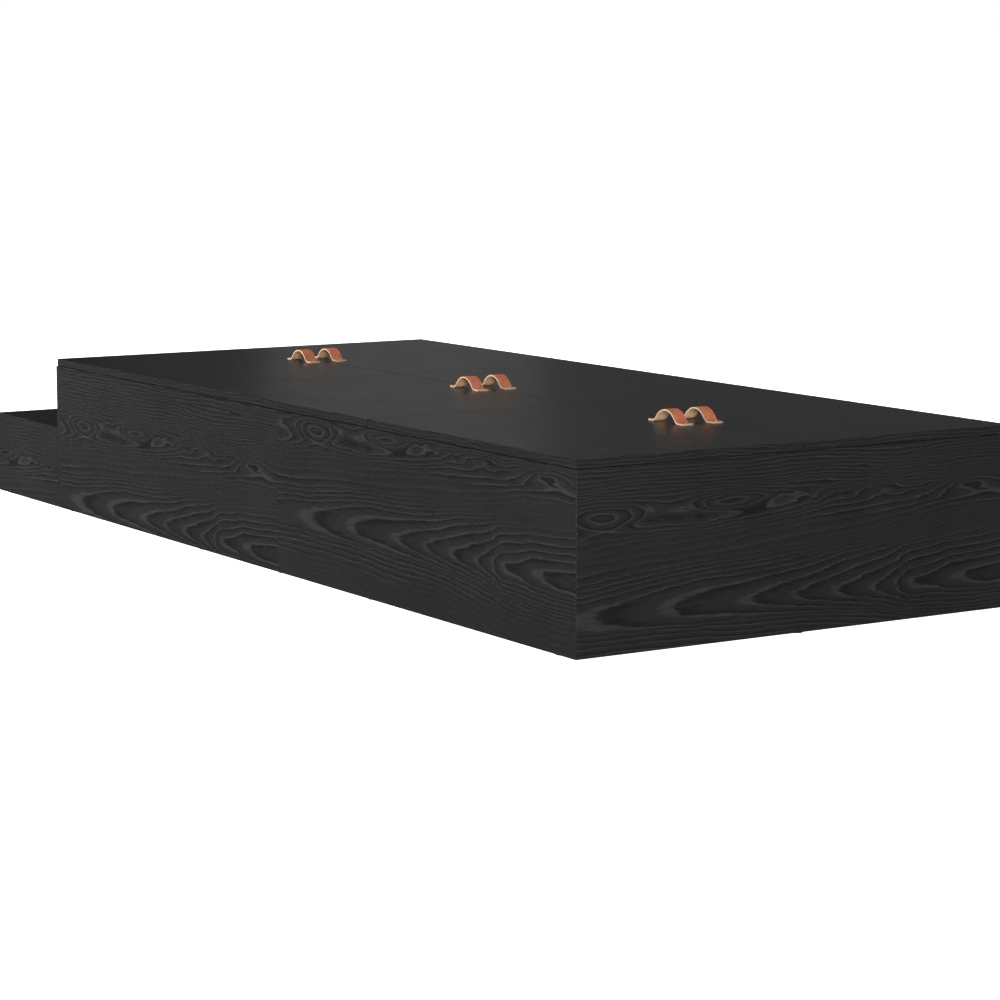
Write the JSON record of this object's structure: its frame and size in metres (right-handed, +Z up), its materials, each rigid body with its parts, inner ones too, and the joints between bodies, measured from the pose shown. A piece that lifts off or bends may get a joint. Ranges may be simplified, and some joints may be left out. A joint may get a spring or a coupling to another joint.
{
  "type": "platform storage bed",
  "caption": "Low single platform bed: a long storage box closed by lift-up lids with leather finger loops, and a lower full-width step with storage drawers at its foot end.",
  "frame": {"origin": "middle of the footprint, on the floor", "axes": "+Z up; +X along the bed towards the plain head end, with the step at -X; +Y to the left of someone lying with the head at +X"},
  "size_m": [2.33, 0.902, 0.346],
  "materials": {
    "black_oak": "matt black oak laminate with paler cathedral grain",
    "black_hardboard": "matt black fibreboard",
    "leather_tan": "smooth tan leather with pale cut edges and suede back",
    "hinge_black": "black satin",
    "screw_black": "black oxide",
    "screw_nickel": "nickel plated",
    "zinc": "zinc die cast",
    "runner_steel": "bright zinc plated",
    "glide_plastic": "black nylon",
    "bumper_rubber": "black rubber",
    "dowel_beech": "fluted beech"
  },
  "bodies": {
    "carcass": {"bottom_battens": "black_hardboard", "bottom_board_foot": "black_hardboard", "bottom_board_head": "black_hardboard", "bottom_board_mid": "black_hardboard", "cam_bolts": "zinc", "cam_locks": "zinc", "carcass_screws": "screw_black", "centre_divider": "black_oak", "cross_divider_foot": "black_oak", "cross_divider_head": "black_oak", "floor_glides": "glide_plastic", "foot_end_panel": "black_oak", "head_end_panel": "black_oak", "hinge_base_leaves": "hinge_black", "hinge_pins": "hinge_black", "left_side_panel_foot": "black_oak", "left_side_panel_head": "black_oak", "lid_bumpers": "bumper_rubber", "right_side_panel_foot": "black_oak", "right_side_panel_head": "black_oak", "runner_cabinet_members": "runner_steel", "side_splice_plates": "black_oak", "step_bottom": "black_oak", "step_divider": "black_oak", "step_dowels": "dowel_beech", "step_left_side": "black_oak", "step_right_side": "black_oak", "step_top": "black_oak"},
    "drawer_left": {"drawer_left_bottom": "black_hardboard", "drawer_left_box": "black_oak", "drawer_left_front": "black_oak", "drawer_left_runners": "runner_steel"},
    "drawer_right": {"drawer_right_bottom": "black_hardboard", "drawer_right_box": "black_oak", "drawer_right_front": "black_oak", "drawer_right_runners": "runner_steel"},
    "lid_left_foot": {"lid_left_foot": "black_oak", "lid_left_foot_hinge_leaves": "hinge_black", "lid_left_foot_loop": "leather_tan", "lid_left_foot_screws": "screw_nickel"},
    "lid_left_head": {"lid_left_head": "black_oak", "lid_left_head_hinge_leaves": "hinge_black", "lid_left_head_loop": "leather_tan", "lid_left_head_screws": "screw_nickel"},
    "lid_left_mid": {"lid_left_mid": "black_oak", "lid_left_mid_hinge_leaves": "hinge_black", "lid_left_mid_loop": "leather_tan", "lid_left_mid_screws": "screw_nickel"},
    "lid_right_foot": {"lid_right_foot": "black_oak", "lid_right_foot_hinge_leaves": "hinge_black", "lid_right_foot_loop": "leather_tan", "lid_right_foot_screws": "screw_nickel"},
    "lid_right_head": {"lid_right_head": "black_oak", "lid_right_head_hinge_leaves": "hinge_black", "lid_right_head_loop": "leather_tan", "lid_right_head_screws": "screw_nickel"},
    "lid_right_mid": {"lid_right_mid": "black_oak", "lid_right_mid_hinge_leaves": "hinge_black", "lid_right_mid_loop": "leather_tan", "lid_right_mid_screws": "screw_nickel"}
  },
  "joints": [
    {"name": "lid_right_head_hinge", "type": "hinge", "parent": "carcass", "child": "lid_right_head", "pos_m": [0.8335, -0.449, 0.3065], "axis": [1, 0, 0], "range_deg": [0, 100]},
    {"name": "lid_right_mid_hinge", "type": "hinge", "parent": "carcass", "child": "lid_right_mid", "pos_m": [0.169, -0.449, 0.3065], "axis": [1, 0, 0], "range_deg": [0, 100]},
    {"name": "lid_right_foot_hinge", "type": "hinge", "parent": "carcass", "child": "lid_right_foot", "pos_m": [-0.4955, -0.449, 0.3065], "axis": [1, 0, 0], "range_deg": [0, 100]},
    {"name": "lid_left_head_hinge", "type": "hinge", "parent": "carcass", "child": "lid_left_head", "pos_m": [0.8335, 0.449, 0.3065], "axis": [-1, 0, 0], "range_deg": [0, 100]},
    {"name": "lid_left_mid_hinge", "type": "hinge", "parent": "carcass", "child": "lid_left_mid", "pos_m": [0.169, 0.449, 0.3065], "axis": [-1, 0, 0], "range_deg": [0, 100]},
    {"name": "lid_left_foot_hinge", "type": "hinge", "parent": "carcass", "child": "lid_left_foot", "pos_m": [-0.4955, 0.449, 0.3065], "axis": [-1, 0, 0], "range_deg": [0, 100]},
    {"name": "drawer_right_slide", "type": "slide", "parent": "carcass", "child": "drawer_right", "axis": [-1, 0, 0], "range_m": [0, 0.22]},
    {"name": "drawer_left_slide", "type": "slide", "parent": "carcass", "child": "drawer_left", "axis": [-1, 0, 0], "range_m": [0, 0.22]}
  ]
}
